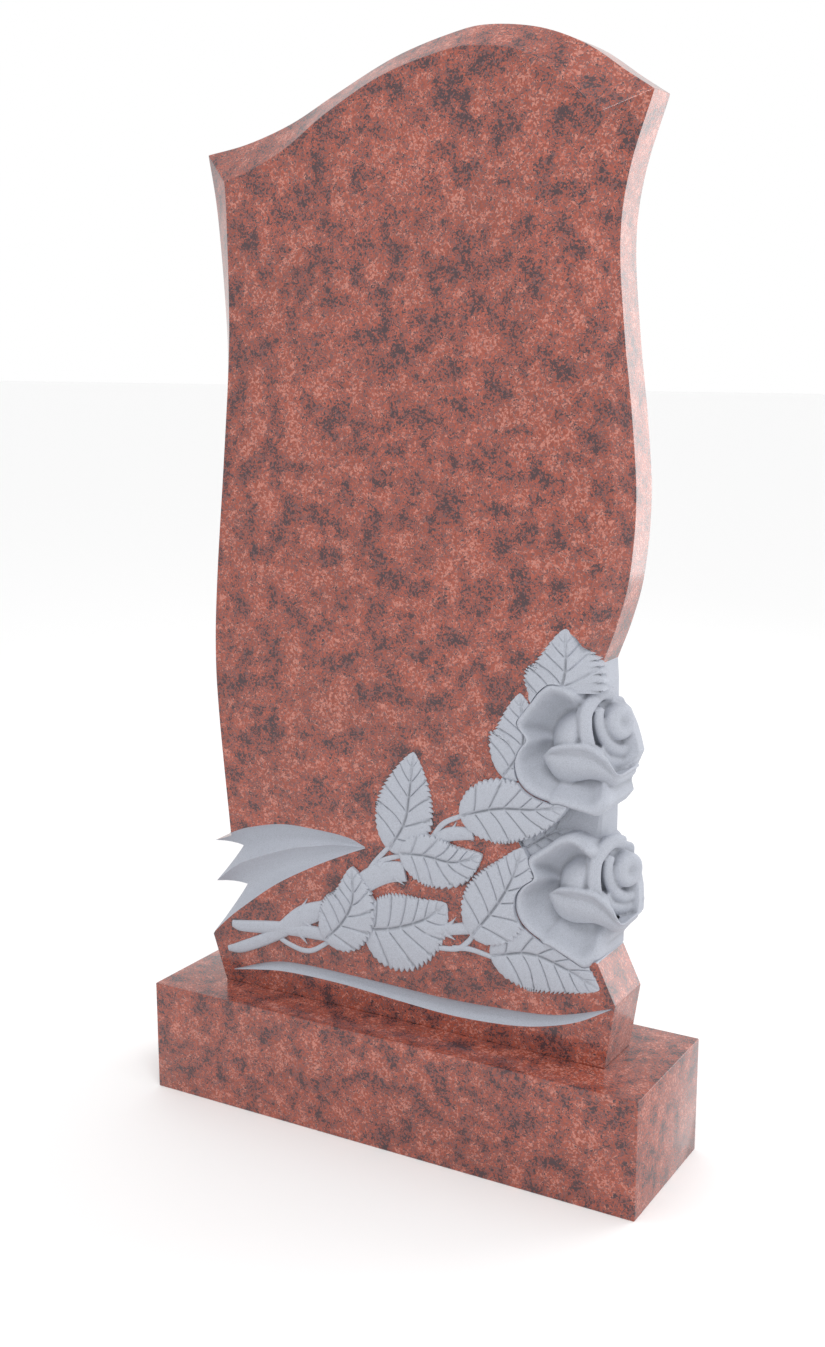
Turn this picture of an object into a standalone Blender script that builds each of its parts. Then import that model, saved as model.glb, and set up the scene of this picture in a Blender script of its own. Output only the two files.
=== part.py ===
"""Granite headstone: a bevelled, waisted slab on a block plinth, with two roses carved into the slab.

Metres, +Z up, the face looks along -Y. The origin is the centre of the plinth's underside.
"""

import bpy
import bmesh
from math import cos, pi, radians, sin
from mathutils import Vector

# The two stones
PLINTH_WIDTH = 0.700
PLINTH_DEPTH = 0.200
PLINTH_HEIGHT = 0.150
PLINTH_ARRIS = 0.001
SLAB_WIDTH = 0.600
SLAB_HEIGHT = 1.200
SLAB_THICKNESS = 0.080
BED_GAP = 0.0003

# The bevel round the face, as its depth from the face to the slab's side
BEVEL_DEPTH = 0.033

# Depths of the carving, measured from the face
FLUTE_DEPTH = 0.020
GROOVE_DEPTH = 0.009
LEAF_RISE = 0.004
LEAF_MARGIN = 0.0015
STEM_RISE = 0.004

# The carving is drawn at this size, in millimetres, and follows the slab when the slab changes
DRAWN_WIDTH = 600.0
DRAWN_HEIGHT = 1200.0
DRAWN_THICKNESS = 80.0
# How far the raw shapes run on in front of the face and behind the back before they are cut
PROUD = -12
BACK_STOCK = 10
CUTTER_MARGIN = 60

# Points along a leaf, round a rose's bud and its heart, and between two points of a coiled petal
LEAF_ROWS = 12
BUD_SIDES = 16
HEART_SIDES = 12
COIL_STEPS = 2

FACE = -SLAB_THICKNESS / 2
SLAB_FOOT = PLINTH_HEIGHT + BED_GAP


def at(x, z, depth=0.0):
    """A point of the drawing in mm: x from the middle, z above the slab's foot, depth behind the face."""
    return Vector((
        x * SLAB_WIDTH / DRAWN_WIDTH,
        FACE + depth * SLAB_THICKNESS / DRAWN_THICKNESS,
        SLAB_FOOT + z * SLAB_HEIGHT / DRAWN_HEIGHT,
    ))


def drawn(depth):
    """A depth in metres as the drawing counts it."""
    return depth / SLAB_THICKNESS * DRAWN_THICKNESS


def spline(points, steps):
    """A smooth curve through all the points, with this many steps between each two."""
    points = [Vector(p) for p in points]
    ends = [2 * points[0] - points[1]] + points + [2 * points[-1] - points[-2]]
    curve = []
    for i in range(1, len(ends) - 2):
        a, b, c, d = ends[i - 1:i + 3]
        for k in range(steps):
            t = k / steps
            curve.append(0.5 * (2 * b + (c - a) * t + (2 * a - 5 * b + 4 * c - d) * t * t
                                + (3 * b - 3 * c + d - a) * t ** 3))
    return curve + [points[-1]]


def even(curve):
    """The same curve with equal steps of length."""
    lengths = [0.0]
    for a, b in zip(curve, curve[1:]):
        lengths.append(lengths[-1] + (b - a).length)
    run = []
    k = 0
    for step in range(len(curve)):
        goal = lengths[-1] * step / (len(curve) - 1)
        while k < len(curve) - 2 and lengths[k + 1] < goal:
            k += 1
        run.append(curve[k].lerp(curve[k + 1], (goal - lengths[k]) / (lengths[k + 1] - lengths[k])))
    return run


def loft(name, rings, material):
    """A closed solid through rings of the same number of points, with flat ends."""
    mesh = bmesh.new()
    rows = [[mesh.verts.new(p) for p in ring] for ring in rings]
    for first, second in zip(rows, rows[1:]):
        count = len(first)
        for i in range(count):
            j = (i + 1) % count
            mesh.faces.new((first[i], first[j], second[j], second[i]))
    mesh.faces.new(rows[0])
    mesh.faces.new(rows[-1])
    mesh.normal_update()
    bmesh.ops.triangulate(mesh, faces=mesh.faces[:])
    bmesh.ops.recalc_face_normals(mesh, faces=mesh.faces[:])
    if mesh.calc_volume(signed=True) < 0:
        bmesh.ops.reverse_faces(mesh, faces=mesh.faces[:])
    data = bpy.data.meshes.new(name)
    mesh.to_mesh(data)
    mesh.free()
    data.materials.append(material)
    obj = bpy.data.objects.new(name, data)
    bpy.context.scene.collection.objects.link(obj)
    return obj


def stone(name, colour, roughness):
    material = bpy.data.materials.new(name)
    material.use_nodes = True
    shader = material.node_tree.nodes["Principled BSDF"]
    shader.inputs["Base Color"].default_value = (*colour, 1.0)
    shader.inputs["Roughness"].default_value = roughness
    shader.inputs["Metallic"].default_value = 0.0
    return material


# The slab's outline: each point is (x, z, width of the bevel there), from the top corner down one side
RIGHT_SIDE = [
    (297, 1116, 44), (271, 1035, 31), (262, 960, 22), (270, 860, 18), (282, 766, 15),
    (289.5, 675, 14.5), (284, 590, 21), (271, 535, 22), (253, 485, 18),
]
LEFT_SIDE = [
    (-297, 1080, 48), (-285, 1010, 38), (-276, 900, 30), (-274, 820, 25), (-281, 700, 21),
    (-294, 560, 20), (-300, 460, 20), (-297, 370, 20), (-284, 203, 22),
]
# The top edge, left to right: (x, z, how far the bevel drops there)
TOP_EDGE = [
    (-297, 1080, 37), (-236, 1090, 36), (-170, 1110, 33), (-105, 1140, 27), (-26, 1174, 25),
    (50, 1194, 26), (98, 1199, 27), (161, 1190, 28), (217, 1168, 32), (264, 1137, 30), (297, 1116, 23),
]
# Behind the roses the side runs on with its bevel, down to where the foot starts
ROSE_SIDE = [(255, 462, 18), (258, 300, 18), (258, 165, 18)]
# The foot and the notched end of the flutes have no bevel
FOOT_RIGHT = [(258, 150), (270, 131), (294, 82), (282, 0)]
FOOT_LEFT = [(-275, 0), (-296, 61), (-249, 135), (-288, 138), (-255, 188), (-289, 195)]


# Near its top corners the bevel's inner line drops away from the outline over this height
CORNER_REACH = 90.0


def side_of_slab(side, inward, drop):
    """The outline and the bevel's inner line down one side, from below the top corner."""
    top = side[0][1]
    outer, inner = [], []
    for x, z, width in spline(side, 3)[1:]:
        outer.append((x, z))
        inner.append((x + inward * width, z - drop * max(0.0, 1 - (top - z) / CORNER_REACH) ** 2))
    return outer, inner


def slab(material):
    left_end, right_end = TOP_EDGE[0], TOP_EDGE[-1]
    left_width, right_width = LEFT_SIDE[0][2], RIGHT_SIDE[0][2]
    outer, inner = [], []
    for x, z, drop in spline(TOP_EDGE, 3):
        share = (x - left_end[0]) / (right_end[0] - left_end[0])
        outer.append((x, z))
        inner.append((x + left_width * (1 - share) ** 6 - right_width * share ** 6, z - drop))
    right_outer, right_inner = side_of_slab(RIGHT_SIDE, -1, right_end[2])
    left_outer, left_inner = side_of_slab(LEFT_SIDE, 1, left_end[2])
    plain = FOOT_RIGHT + FOOT_LEFT
    outer += right_outer + [(x, z) for x, z, _ in ROSE_SIDE] + plain + left_outer[::-1]
    inner += right_inner + [(x - width, z) for x, z, width in ROSE_SIDE] + plain + left_inner[::-1]
    bevel = drawn(BEVEL_DEPTH)
    rings = [
        [at(x, z, 0) for x, z in inner],
        [at(x, z, bevel) for x, z in outer],
        [at(x, z, DRAWN_THICKNESS + BACK_STOCK) for x, z in outer],
    ]
    return loft("headstone", rings, material)


# The fluted form at the lower left, from its point at the right to its end at the slab's side
FLUTE_TOP = [(-52, 223.5), (-79, 232), (-128, 235), (-180, 234), (-231, 222), (-259, 211), (-292, 194),
             (-306, 187)]
FLUTE_RIDGE = [(-52, 222.5), (-93, 219), (-128, 212), (-168, 202), (-220, 182), (-256, 164), (-292, 135),
               (-306, 124)]
FLUTE_FOOT = [(-52, 221.5), (-80, 209), (-129, 185), (-190, 150), (-247, 107), (-275, 83), (-299, 59),
              (-311, 48)]
# The hollow crescent over the foot, from end to end
GROOVE_TOP = [(-262, 17), (-197, 40), (-145, 46), (-70, 46), (-1, 45), (69, 44), (136, 47), (201, 52),
              (243, 62), (289, 78)]
GROOVE_FOOT = [(-262, 16), (-226, 23), (-175, 30), (-91, 31), (-1, 26), (69, 23), (137, 26), (191, 34),
               (244, 51), (289, 77)]
# How deep the flutes are at their point, and the share of their depth, and of the groove's, from end to end
FLUTE_POINT = 0.2
FLUTE_SHARES = (0.3, 0.45, 0.62, 0.8, 0.9, 1.0, 1.0)
GROOVE_SHARES = (0.03, 0.45, 0.7, 0.9, 1.0, 1.0, 1.0, 0.8, 0.5, 0.03)
# A hollow's section: (share of the way across, share of its full depth), and how far its crests lie below
# the face
HOLLOW_SECTION = [(0.22, 0.75), (0.5, 1.0), (0.78, 0.72)]
CREST_DROP = 0.6


def hollow(name, crests, depths, material, steps=2):
    """A cutter with one hollow between each two of its crest lines, with its depths from end to end."""
    crests = [spline([(x, z, 0) for x, z in line], steps) for line in crests]
    depths = [d.x for d in spline([(d, 0, 0) for d in depths], steps)]
    rings = []
    for k, depth in enumerate(depths):
        line = [c[k] for c in crests]
        ring = [at(line[0].x, line[0].y, PROUD), at(line[0].x, line[0].y, 0)]
        for i, (upper, lower) in enumerate(zip(line, line[1:])):
            for share, part in HOLLOW_SECTION:
                p = upper.lerp(lower, share)
                ring.append(at(p.x, p.y, CREST_DROP / 2 + depth * part))
            crest = CREST_DROP if i + 2 < len(line) else 0
            ring.append(at(lower.x, lower.y, crest))
        ring.append(at(line[-1].x, line[-1].y, PROUD))
        rings.append(ring)
    return loft(name, rings, material)


# Each leaf: its midrib from stalk to tip as (x, z), its widths to the left and right of the midrib, how
# far it stands proud of the face, and how far its far end sinks where it passes under a rose
LEAVES = {
    "leaf_upright": dict(rib=[(-16, 225), (7, 264), (14, 300), (19.5, 357)], left=48, right=38, rise=1.0),
    "leaf_low_bud": dict(rib=[(0, 225), (38, 228), (78, 226), (117, 241)], left=29, right=41, rise=4.0),
    "leaf_under_upper_rose": dict(rib=[(86, 286), (137, 303), (186, 309), (228, 318)], left=38, right=45,
                                  rise=4.0),
    "leaf_beside_upper_rose": dict(rib=[(142, 342), (162, 370), (170, 395), (164, 447)], left=46, right=30,
                                   rise=1.0),
    "leaf_top": dict(rib=[(188, 420), (206, 440), (222, 475), (221, 529)], left=50, right=44, rise=2.0,
                     right_sinks=26),
    "leaf_lower_left": dict(rib=[(-112, 88), (-84, 118), (-68, 151), (-70, 195)], left=40, right=42,
                            rise=4.5),
    "leaf_low_middle": dict(rib=[(-58, 113), (-10, 123), (35, 143), (67, 169)], left=46, right=60, rise=1.0),
    "leaf_beside_lower_rose": dict(rib=[(103, 134), (136, 178), (158, 218), (171, 259)], left=46, right=46,
                                   rise=3.5),
    "leaf_under_lower_rose": dict(rib=[(128, 113), (180, 127), (225, 119), (274, 99)], left=42, right=50,
                                  rise=1.0),
    "leaf_between_roses": dict(rib=[(170, 256), (205, 280), (235, 296), (256, 306)], left=32, right=42,
                               rise=-5,
                               end_sinks=27),
}
# How far a side vein lifts the leaf, how much narrower the leaf is at it, and how thick a leaf's edge is
VEIN_LIFT = 0.9
VEIN_NARROWS = 0.93
LEAF_EDGE = 14


def leaf(name, rib, left, right, rise, material, end_sinks=0.0, right_sinks=0.0):
    """A pointed leaf with a sunk midrib, side veins and a toothed margin, standing on the slab."""
    curve = even(spline([(x, z, 0) for x, z in rib], 8))
    last = len(curve) - 1
    margin = drawn(LEAF_MARGIN)
    crest = drawn(LEAF_RISE)
    rings = []
    for row in range(LEAF_ROWS + 1):
        t = 0.02 + 0.96 * row / LEAF_ROWS
        k = min(int(t * last), last - 1)
        mid = curve[k].lerp(curve[k + 1], t * last - k)
        along = (curve[k + 1] - curve[k]).normalized()
        across = Vector((-along.y, along.x, 0))
        spread = sin(pi * t ** 0.72) ** 0.75 * (1.0 if row % 2 else VEIN_NARROWS)
        vein = 0.0 if row % 2 else VEIN_LIFT
        base = -rise + end_sinks * t
        ring = []
        for side, width, sinks in ((1, left, 0.0), (-1, right, right_sinks)):
            edge = mid + across * side * width * spread
            half = mid + across * side * width * spread * 0.5
            points = [
                at(half.x, half.y, base + sinks * 0.35 * spread - crest * spread + vein),
                at(edge.x, edge.y, base + sinks * spread - margin * 0.2 + vein * 0.4),
                at(edge.x, edge.y, base + sinks * spread + margin + LEAF_EDGE),
            ]
            ring.append(points if side > 0 else points[::-1])
        valley = at(mid.x, mid.y, base - crest * 0.25 * spread)
        rings.append([valley] + ring[0] + ring[1])
    return loft(name, rings, material)


# Each stem: its centre line and half its breadth there, (x, z, half breadth)
STEMS = {
    "stem_first": [(-262, 82, 5), (-243, 82, 8), (-177, 91, 9), (-105, 95, 9)],
    "stem_second": [(-270, 45, 4), (-246, 52, 8), (-197, 77, 9), (-150, 112, 14), (-112, 130, 12)],
    "stem_behind_leaves": [(-78, 150, 11), (-50, 178, 14), (-20, 195, 14), (8, 201, 13)],
    "stem_to_upper_rose": [(55, 250, 8), (72, 260, 9), (104, 266, 8)],
    "stem_to_lower_rose": [(38, 130, 8), (62, 134, 7), (100, 144, 8), (118, 150, 7)],
    "stalk_upright": [(-58, 172, 3.5), (-40, 202, 3.5), (-16, 230, 3)],
    "stalk_low_bud": [(-44, 184, 3.5), (-28, 208, 3.5), (4, 222, 3)],
    "stalk_under_upper_rose": [(46, 250, 4), (62, 272, 3.5), (90, 287, 3)],
    "stalk_lower_left": [(-196, 82, 3.5), (-170, 70, 3.5), (-138, 67, 3.5), (-104, 88, 3)],
    "stalk_beside_lower_rose": [(28, 108, 3.5), (78, 112, 3.5), (96, 124, 3.5), (106, 138, 3)],
    "stalk_under_lower_rose": [(76, 113, 3.5), (100, 116, 3.5), (130, 112, 3)],
}
# Each thorn: the middle of its foot, and its tip; then half its breadth, how far its root reaches into the
# stem and under the face, how high its edges stand, and its tip's share of its breadth
THORNS = [
    ((-150, 122), (-141, 139)), ((-142, 106), (-131, 99)), ((-152, 88), (-142, 76)),
    ((-27, 205), (-19, 216)),
    ((-5, 190), (6, 183)), ((74, 264), (80, 277)), ((90, 262), (104, 256)), ((70, 140), (80, 154)),
    ((68, 130), (79, 124)),
]
THORN_HALF_FOOT = 6.0
THORN_ROOT = 3.0
THORN_FOOT = 5.0
THORN_EDGE = 0.55
THORN_TIP = 0.08
# A stem's section: (share of its half breadth, share of its rise), with its foot this far below the face
STEM_SECTION = [(-1, 0.1), (-0.5, 0.85), (0, 1), (0.5, 0.85), (1, 0.1)]
STEM_FOOT = 8
STEM_FULL_BREADTH = 7


def stem(name, line, material):
    """A half-round stem lying on the face."""
    curve = spline(line, 3)
    rings = []
    for k, p in enumerate(curve):
        a, b = curve[max(k - 1, 0)], curve[min(k + 1, len(curve) - 1)]
        along = Vector((b.x - a.x, b.y - a.y)).normalized()
        across = Vector((-along.y, along.x))
        rise = drawn(STEM_RISE) * min(1.0, p.z / STEM_FULL_BREADTH)
        ring = []
        for share, depth in [(-1, STEM_FOOT)] + [(a, -rise * b) for a, b in STEM_SECTION] + [(1, STEM_FOOT)]:
            q = Vector((p.x, p.y)) + across * share * p.z
            ring.append(at(q.x, q.y, depth))
        rings.append(ring)
    return loft(name, rings, material)


def thorn(name, foot, tip, material):
    foot, tip = Vector(foot), Vector(tip)
    along = (tip - foot).normalized()
    across = Vector((-along.y, along.x)) * THORN_HALF_FOOT
    rise = drawn(STEM_RISE)
    rings = []
    for point, share in ((foot - along * THORN_ROOT, 1.0), (tip, THORN_TIP)):
        sides = [point + across * share, point - across * share]
        rings.append([at(*sides[0], THORN_FOOT), at(*sides[0], -THORN_EDGE),
                      at(*point, -rise * share - THORN_EDGE),
                      at(*sides[1], -THORN_EDGE), at(*sides[1], THORN_FOOT)])
    return loft(name, rings, material)


# Both roses are one design. It is drawn round the heart of the bud: p runs right, q up, d behind the face.
ROSES = {"lower_rose": dict(place=(282, 223), turn=0.0), "upper_rose": dict(place=(265.7, 416.4), turn=15.3)}
# The bud of each, with all that is coiled in it, has its own place and turn
BUDS = {"lower_rose": ((282, 223), 0.0), "upper_rose": ((268, 402), 7.0)}
ROSE_MIDDLE = (-51, -13)
# The rim of the open outer petals as (p, q, how far it falls back), round from the top right
ROSE_RIM = [
    (-20, 47, 3), (-33, 57, 0), (-48, 62, 0), (-64, 56, 0), (-79, 44, 0), (-92, 34, 0), (-104, 22, 0),
    (-96, 2, 0),
    (-109, -10, 0), (-119, -24, 0), (-121, -41, 0), (-118, -53, 0), (-111, -63, 0), (-99, -72, 0),
    (-85, -79, 0),
    (-71, -82, 0), (-56, -89, 0), (-41, -96, 0), (-26, -101, 0),
    (-14, -91, 8), (-13, -76, 24), (-8, -48, 52), (-4, -30, 57), (-4, -10, 57), (-6, 12, 57), (-12, 32, 45),
]
# The right side of the same stone farther back, where it is cut square to the face, up from the lowest point
ROSE_SIDE_DEPTH = 64
ROSE_SIDE_CUT = [(-12, -90), (-12, -77), (13, -44), (13, -28), (12, -12), (8, 8), (-5, 24)]
# The bowl's profile: (share of the way from the middle to the rim, depth), and the bed cut for it in the
# slab
BOWL = [(0.30, 28), (0.50, 26), (0.64, 20), (0.76, 9), (0.86, -3), (0.94, -6), (1.0, 0)]
BED_SHARE = 0.97
BED_DEPTH = 62
BED_PROUD = -40
# At the right the bed runs on past the slab's side, so that nothing stands before the bud's mouth
BED_SIDE = [(-12, -90), (30, -60), (30, 36), (-20, 52)]
# The bud's sections from its mouth back: middle (p, q, d), half width towards the face and up, and its turn
BUD_SECTIONS = [
    (-10, 0, 60, 48, 38, 66), (-16, 0, 55, 54, 43, 71), (-34, -2, 52, 51, 42, 80),
    (-54, -5, 50, 44, 37, 88), (-70, -8, 50, 32, 27, 92), (-80, -10, 50, 12, 12, 95),
]
MOUTH_TURN = 66.0
MOUTH_DEPTH = 56.0
# The coiled petals in the mouth: the line of each one's crest there as (across, up, half breadth), and how
# far it stands out of the mouth
COILS = {
    "outer_petal": ([(6.4, 45.4, 8), (21, 50, 9), (35.5, 44.5, 9), (48, 32, 8.5),
                     (51.5, 18, 8.5), (51.5, 4.2, 8.5), (49, -10, 8)], 5),
    "inner_petal": ([(26.8, 32.7, 4), (31, 25, 6.5), (31.5, 13, 7), (27, -1.6, 7.5),
                     (18, -14.7, 8), (4.8, -22.5, 8), (-9.2, -21.5, 7.5), (-19.4, -14.7, 7)], 5),
}
# The bud's heart: its middle in the mouth, its radius, and its profile as (share of the radius, height)
HEART_MIDDLE = (2.2, 11.6)
HEART_RADIUS = 21.5
HEART = [(1.0, -16), (1.0, 4), (0.93, 8), (0.75, 10.5), (0.5, 11), (0.3, 9.5), (0.12, 8.5)]
# Where a coiled petal's foot lies in the mouth, and how far out its outer wall stands there, as a share of
# its half breadth
COIL_FOOT = -16
COIL_UNDERCUT = 0.3
COIL_SECTION = [(-1, -5), (-0.5, -1), (0, 0), (0.5, -1), (1, -5)]
# The petal that wraps the bud from below: its rolled lip, its lower edge and the way its thickness goes at
# each
WRAP_LIP = [(-82, -21, 11), (-68, -12, 4), (-50, -8, 0), (-33, -7, -1), (-16, -10, 0), (0, -23, 3),
            (6, -34, 8),
            (11, -45, 17), (13, -45, 45), (13, -45, 72)]
WRAP_FOOT = [(-82, -26, 14), (-80, -34, 14), (-71, -48, 14), (-55, -53, 13), (-41, -52, 13), (-25, -50, 14),
             (-10, -52, 16), (0, -58, 22), (2, -60, 46), (2, -60, 72)]
WRAP_INWARD = [0, 0, 0, 0, 0, 20, 40, 65, 90, 90]
WRAP_BULGE = 9.0
WRAP_THICKNESS = 24.0
WRAP_FULL_HEIGHT = 30.0


def on_rose(p, q, d, place, turn):
    """A point of a rose in the place and at the turn of that rose."""
    a = radians(turn)
    return at(place[0] + p * cos(a) - q * sin(a), place[1] + p * sin(a) + q * cos(a), d)


def rose_bed(name, place, turn, material):
    """A cutter that takes the slab down within the rim of a rose."""
    middle = Vector(ROSE_MIDDLE)
    rim = [middle.lerp(Vector((p, q)), BED_SHARE) for p, q, _ in ROSE_RIM[1:-len(ROSE_SIDE_CUT)]]
    rim += [Vector(p) for p in BED_SIDE]
    rings = [[on_rose(*p, d, place, turn) for p in rim] for d in (BED_PROUD, BED_DEPTH)]
    return loft(name + "_bed", rings, material)


def in_mouth(across, up, out):
    """A point of the rose, measured in the mouth of its bud."""
    a = radians(MOUTH_TURN)
    return Vector((out * sin(a) - across * cos(a), up, MOUTH_DEPTH - across * sin(a) - out * cos(a)))


def coil(name, place, turn, material, line, height):
    """One coiled petal in the bud's mouth."""
    path = spline(line, COIL_STEPS)
    section = [(-1, COIL_FOOT)] + [(a, height + b) for a, b in COIL_SECTION] + [(COIL_UNDERCUT, COIL_FOOT)]
    rings = []
    for k, p in enumerate(path):
        a, b = path[max(k - 1, 0)], path[min(k + 1, len(path) - 1)]
        beside = Vector((a.y - b.y, b.x - a.x)).normalized() * p.z
        ring = [in_mouth(p.x + beside.x * s, p.y + beside.y * s, w) for s, w in section]
        rings.append([on_rose(*point, place, turn) for point in ring])
    return loft(name, rings, material)


def heart(name, place, turn, material):
    """The rounded heart of the bud, with a dimple."""
    rings = []
    for share, out in HEART:
        turns = [2 * pi * k / HEART_SIDES for k in range(HEART_SIDES)]
        ring = [(HEART_MIDDLE[0] + HEART_RADIUS * share * cos(a),
                 HEART_MIDDLE[1] + HEART_RADIUS * share * sin(a))
                for a in turns]
        rings.append([on_rose(*in_mouth(*point, out), place, turn) for point in ring])
    return loft(name + "_heart", rings, material)


def rose(name, place, turn, material):
    middle = Vector(ROSE_MIDDLE)
    rings = []
    for share, depth in BOWL:
        ring = [(middle.lerp(Vector((p, q)), share), depth + fall * share) for p, q, fall in ROSE_RIM]
        rings.append([on_rose(*point, d, place, turn) for point, d in ring])
    cut = [(p, q) for p, q, _ in ROSE_RIM[:-len(ROSE_SIDE_CUT)]] + ROSE_SIDE_CUT
    depths = (ROSE_SIDE_DEPTH, DRAWN_THICKNESS + BACK_STOCK)
    rings += [[on_rose(*p, d, place, turn) for p in cut] for d in depths]
    pieces = [loft(name + "_bowl", rings, material)]
    place, turn = BUDS[name]

    rings = []
    for p, q, d, wide, high, swing in BUD_SECTIONS:
        left = Vector((-cos(radians(swing)), 0, -sin(radians(swing))))
        rings.append([])
        for k in range(BUD_SIDES):
            a = 2 * pi * k / BUD_SIDES
            point = Vector((p, q, d)) + left * cos(a) * wide + Vector((0, 1, 0)) * sin(a) * high
            rings[-1].append(on_rose(*point, place, turn))
    pieces.append(loft(name + "_bud", rings, material))

    for petal, facts in COILS.items():
        pieces.append(coil("%s_%s" % (name, petal), place, turn, material, *facts))
    pieces.append(heart(name, place, turn, material))

    rings = []
    for a, b, swing in zip(WRAP_LIP, WRAP_FOOT, WRAP_INWARD):
        lip, foot = Vector(a), Vector(b)
        up = (lip - foot).normalized()
        inward = Vector((-sin(radians(swing)), 0, cos(radians(swing))))
        size = min(1.0, (foot - lip).length / WRAP_FULL_HEIGHT)
        ring = [lip + (up * 4 + inward * 6) * size, lip + up * 3 * size, lip - (up * 3 + inward) * size]
        for share in (0.35, 0.7):
            ring.append(lip.lerp(foot, share) - inward * (WRAP_BULGE * (1.3 - share) - 4) * size)
        ring += [foot, foot + (up * 4 + inward * WRAP_THICKNESS) * size,
                 lip + inward * WRAP_THICKNESS * size]
        rings.append([on_rose(*p, place, turn) for p in ring])
    pieces.append(loft(name + "_wrap", rings, material))
    return pieces


def plinth(material):
    mesh = bmesh.new()
    bmesh.ops.create_cube(mesh, size=1.0)
    for vertex in mesh.verts:
        vertex.co.x *= PLINTH_WIDTH
        vertex.co.y *= PLINTH_DEPTH
        vertex.co.z = (vertex.co.z + 0.5) * PLINTH_HEIGHT
    bmesh.ops.bevel(mesh, geom=mesh.edges[:], offset=PLINTH_ARRIS, segments=1, affect="EDGES")
    data = bpy.data.meshes.new("plinth")
    mesh.to_mesh(data)
    mesh.free()
    data.materials.append(material)
    obj = bpy.data.objects.new("plinth", data)
    bpy.context.scene.collection.objects.link(obj)


def boolean(target, tool, operation, name):
    """The tool joined to the target or cut from it, and kept as a hidden helper."""
    tool.hide_render = True
    tool.display_type = "WIRE"
    modifier = target.modifiers.new(name, "BOOLEAN")
    modifier.operation = operation
    modifier.solver = "MANIFOLD"
    modifier.object = tool


def back_cutter(material):
    """A block that covers all that stands behind the slab's back."""
    low, high = -CUTTER_MARGIN, DRAWN_HEIGHT + CUTTER_MARGIN
    corners = [(-DRAWN_WIDTH, low), (DRAWN_WIDTH, low), (DRAWN_WIDTH, high), (-DRAWN_WIDTH, high)]
    depths = (DRAWN_THICKNESS, DRAWN_THICKNESS + CUTTER_MARGIN)
    return loft("back_cutter", [[at(x, z, depth) for x, z in corners] for depth in depths], material)


def main():
    for obj in list(bpy.data.objects):
        bpy.data.objects.remove(obj)
    granite = stone("polished_granite", (0.38, 0.13, 0.10), 0.15)
    carved = stone("carved_granite", (0.50, 0.53, 0.60), 0.70)
    plinth(granite)
    headstone = slab(granite)
    flutes = hollow("flute_cutter", [FLUTE_TOP, FLUTE_RIDGE, FLUTE_FOOT],
                    [FLUTE_POINT] + [drawn(FLUTE_DEPTH) * s for s in FLUTE_SHARES], carved)
    groove = hollow("groove_cutter", [GROOVE_TOP, GROOVE_FOOT],
                    [drawn(GROOVE_DEPTH) * s for s in GROOVE_SHARES], carved)
    boolean(headstone, flutes, "DIFFERENCE", "flutes")
    boolean(headstone, groove, "DIFFERENCE", "groove")
    pieces = [leaf(name, material=carved, **facts) for name, facts in LEAVES.items()]
    pieces += [stem(name, line, carved) for name, line in STEMS.items()]
    pieces += [thorn("thorn_%d" % k, foot, tip, carved) for k, (foot, tip) in enumerate(THORNS, 1)]
    for piece in pieces:
        boolean(headstone, piece, "UNION", piece.name)
    for name, facts in ROSES.items():
        boolean(headstone, rose_bed(name, material=carved, **facts), "DIFFERENCE", name + "_bed")
    for name, facts in ROSES.items():
        for piece in rose(name, material=carved, **facts):
            boolean(headstone, piece, "UNION", piece.name)
    boolean(headstone, back_cutter(granite), "DIFFERENCE", "back")


main()
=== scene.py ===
"""A granite headstone with carved roses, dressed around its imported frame.

The stone is polished red granite, pale and matte where it is carved. The carving is drawn in millimetres:
x from the slab's middle, z above its foot, depth behind its polished face.
"""

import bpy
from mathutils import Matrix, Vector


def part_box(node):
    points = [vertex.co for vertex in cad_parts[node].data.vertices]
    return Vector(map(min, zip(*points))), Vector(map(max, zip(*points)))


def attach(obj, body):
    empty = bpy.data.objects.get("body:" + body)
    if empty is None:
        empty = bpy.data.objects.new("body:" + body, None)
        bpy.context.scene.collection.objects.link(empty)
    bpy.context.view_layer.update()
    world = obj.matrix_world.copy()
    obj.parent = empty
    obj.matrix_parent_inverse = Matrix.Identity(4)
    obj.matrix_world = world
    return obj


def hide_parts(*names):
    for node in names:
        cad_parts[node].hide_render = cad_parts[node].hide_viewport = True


bl_info = {
    "name": "Granite headstone",
    "version": (1, 0, 0),
    "blender": (4, 5, 0),
    "location": "View3D > Sidebar > Headstone",
    "description": "Builds a granite headstone with roses and leaves carved in relief, and its plinth",
    "category": "Object",
}

from math import cos, pi, radians, sin

import bmesh
import bpy
import numpy as np
from mathutils import Matrix, Vector

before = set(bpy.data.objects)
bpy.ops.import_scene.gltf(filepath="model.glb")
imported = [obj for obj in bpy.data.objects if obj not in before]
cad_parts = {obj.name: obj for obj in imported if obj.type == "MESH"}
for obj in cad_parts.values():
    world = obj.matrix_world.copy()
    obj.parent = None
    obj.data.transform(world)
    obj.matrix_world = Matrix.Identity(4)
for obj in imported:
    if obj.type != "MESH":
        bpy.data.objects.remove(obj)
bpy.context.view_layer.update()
PLINTH_LOW, PLINTH_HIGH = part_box("plinth")
SLAB_LOW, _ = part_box("headstone")

# The size the carving is drawn at, in millimetres
DRAWN_WIDTH = 600.0
DRAWN_HEIGHT = 1200.0
DRAWN_THICKNESS = 80.0
SLAB_WIDTH = 0.600
SLAB_HEIGHT = 1.200
SLAB_THICKNESS = 0.080
FACE = -SLAB_THICKNESS / 2
SLAB_FOOT = SLAB_LOW.z


# Properties


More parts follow.
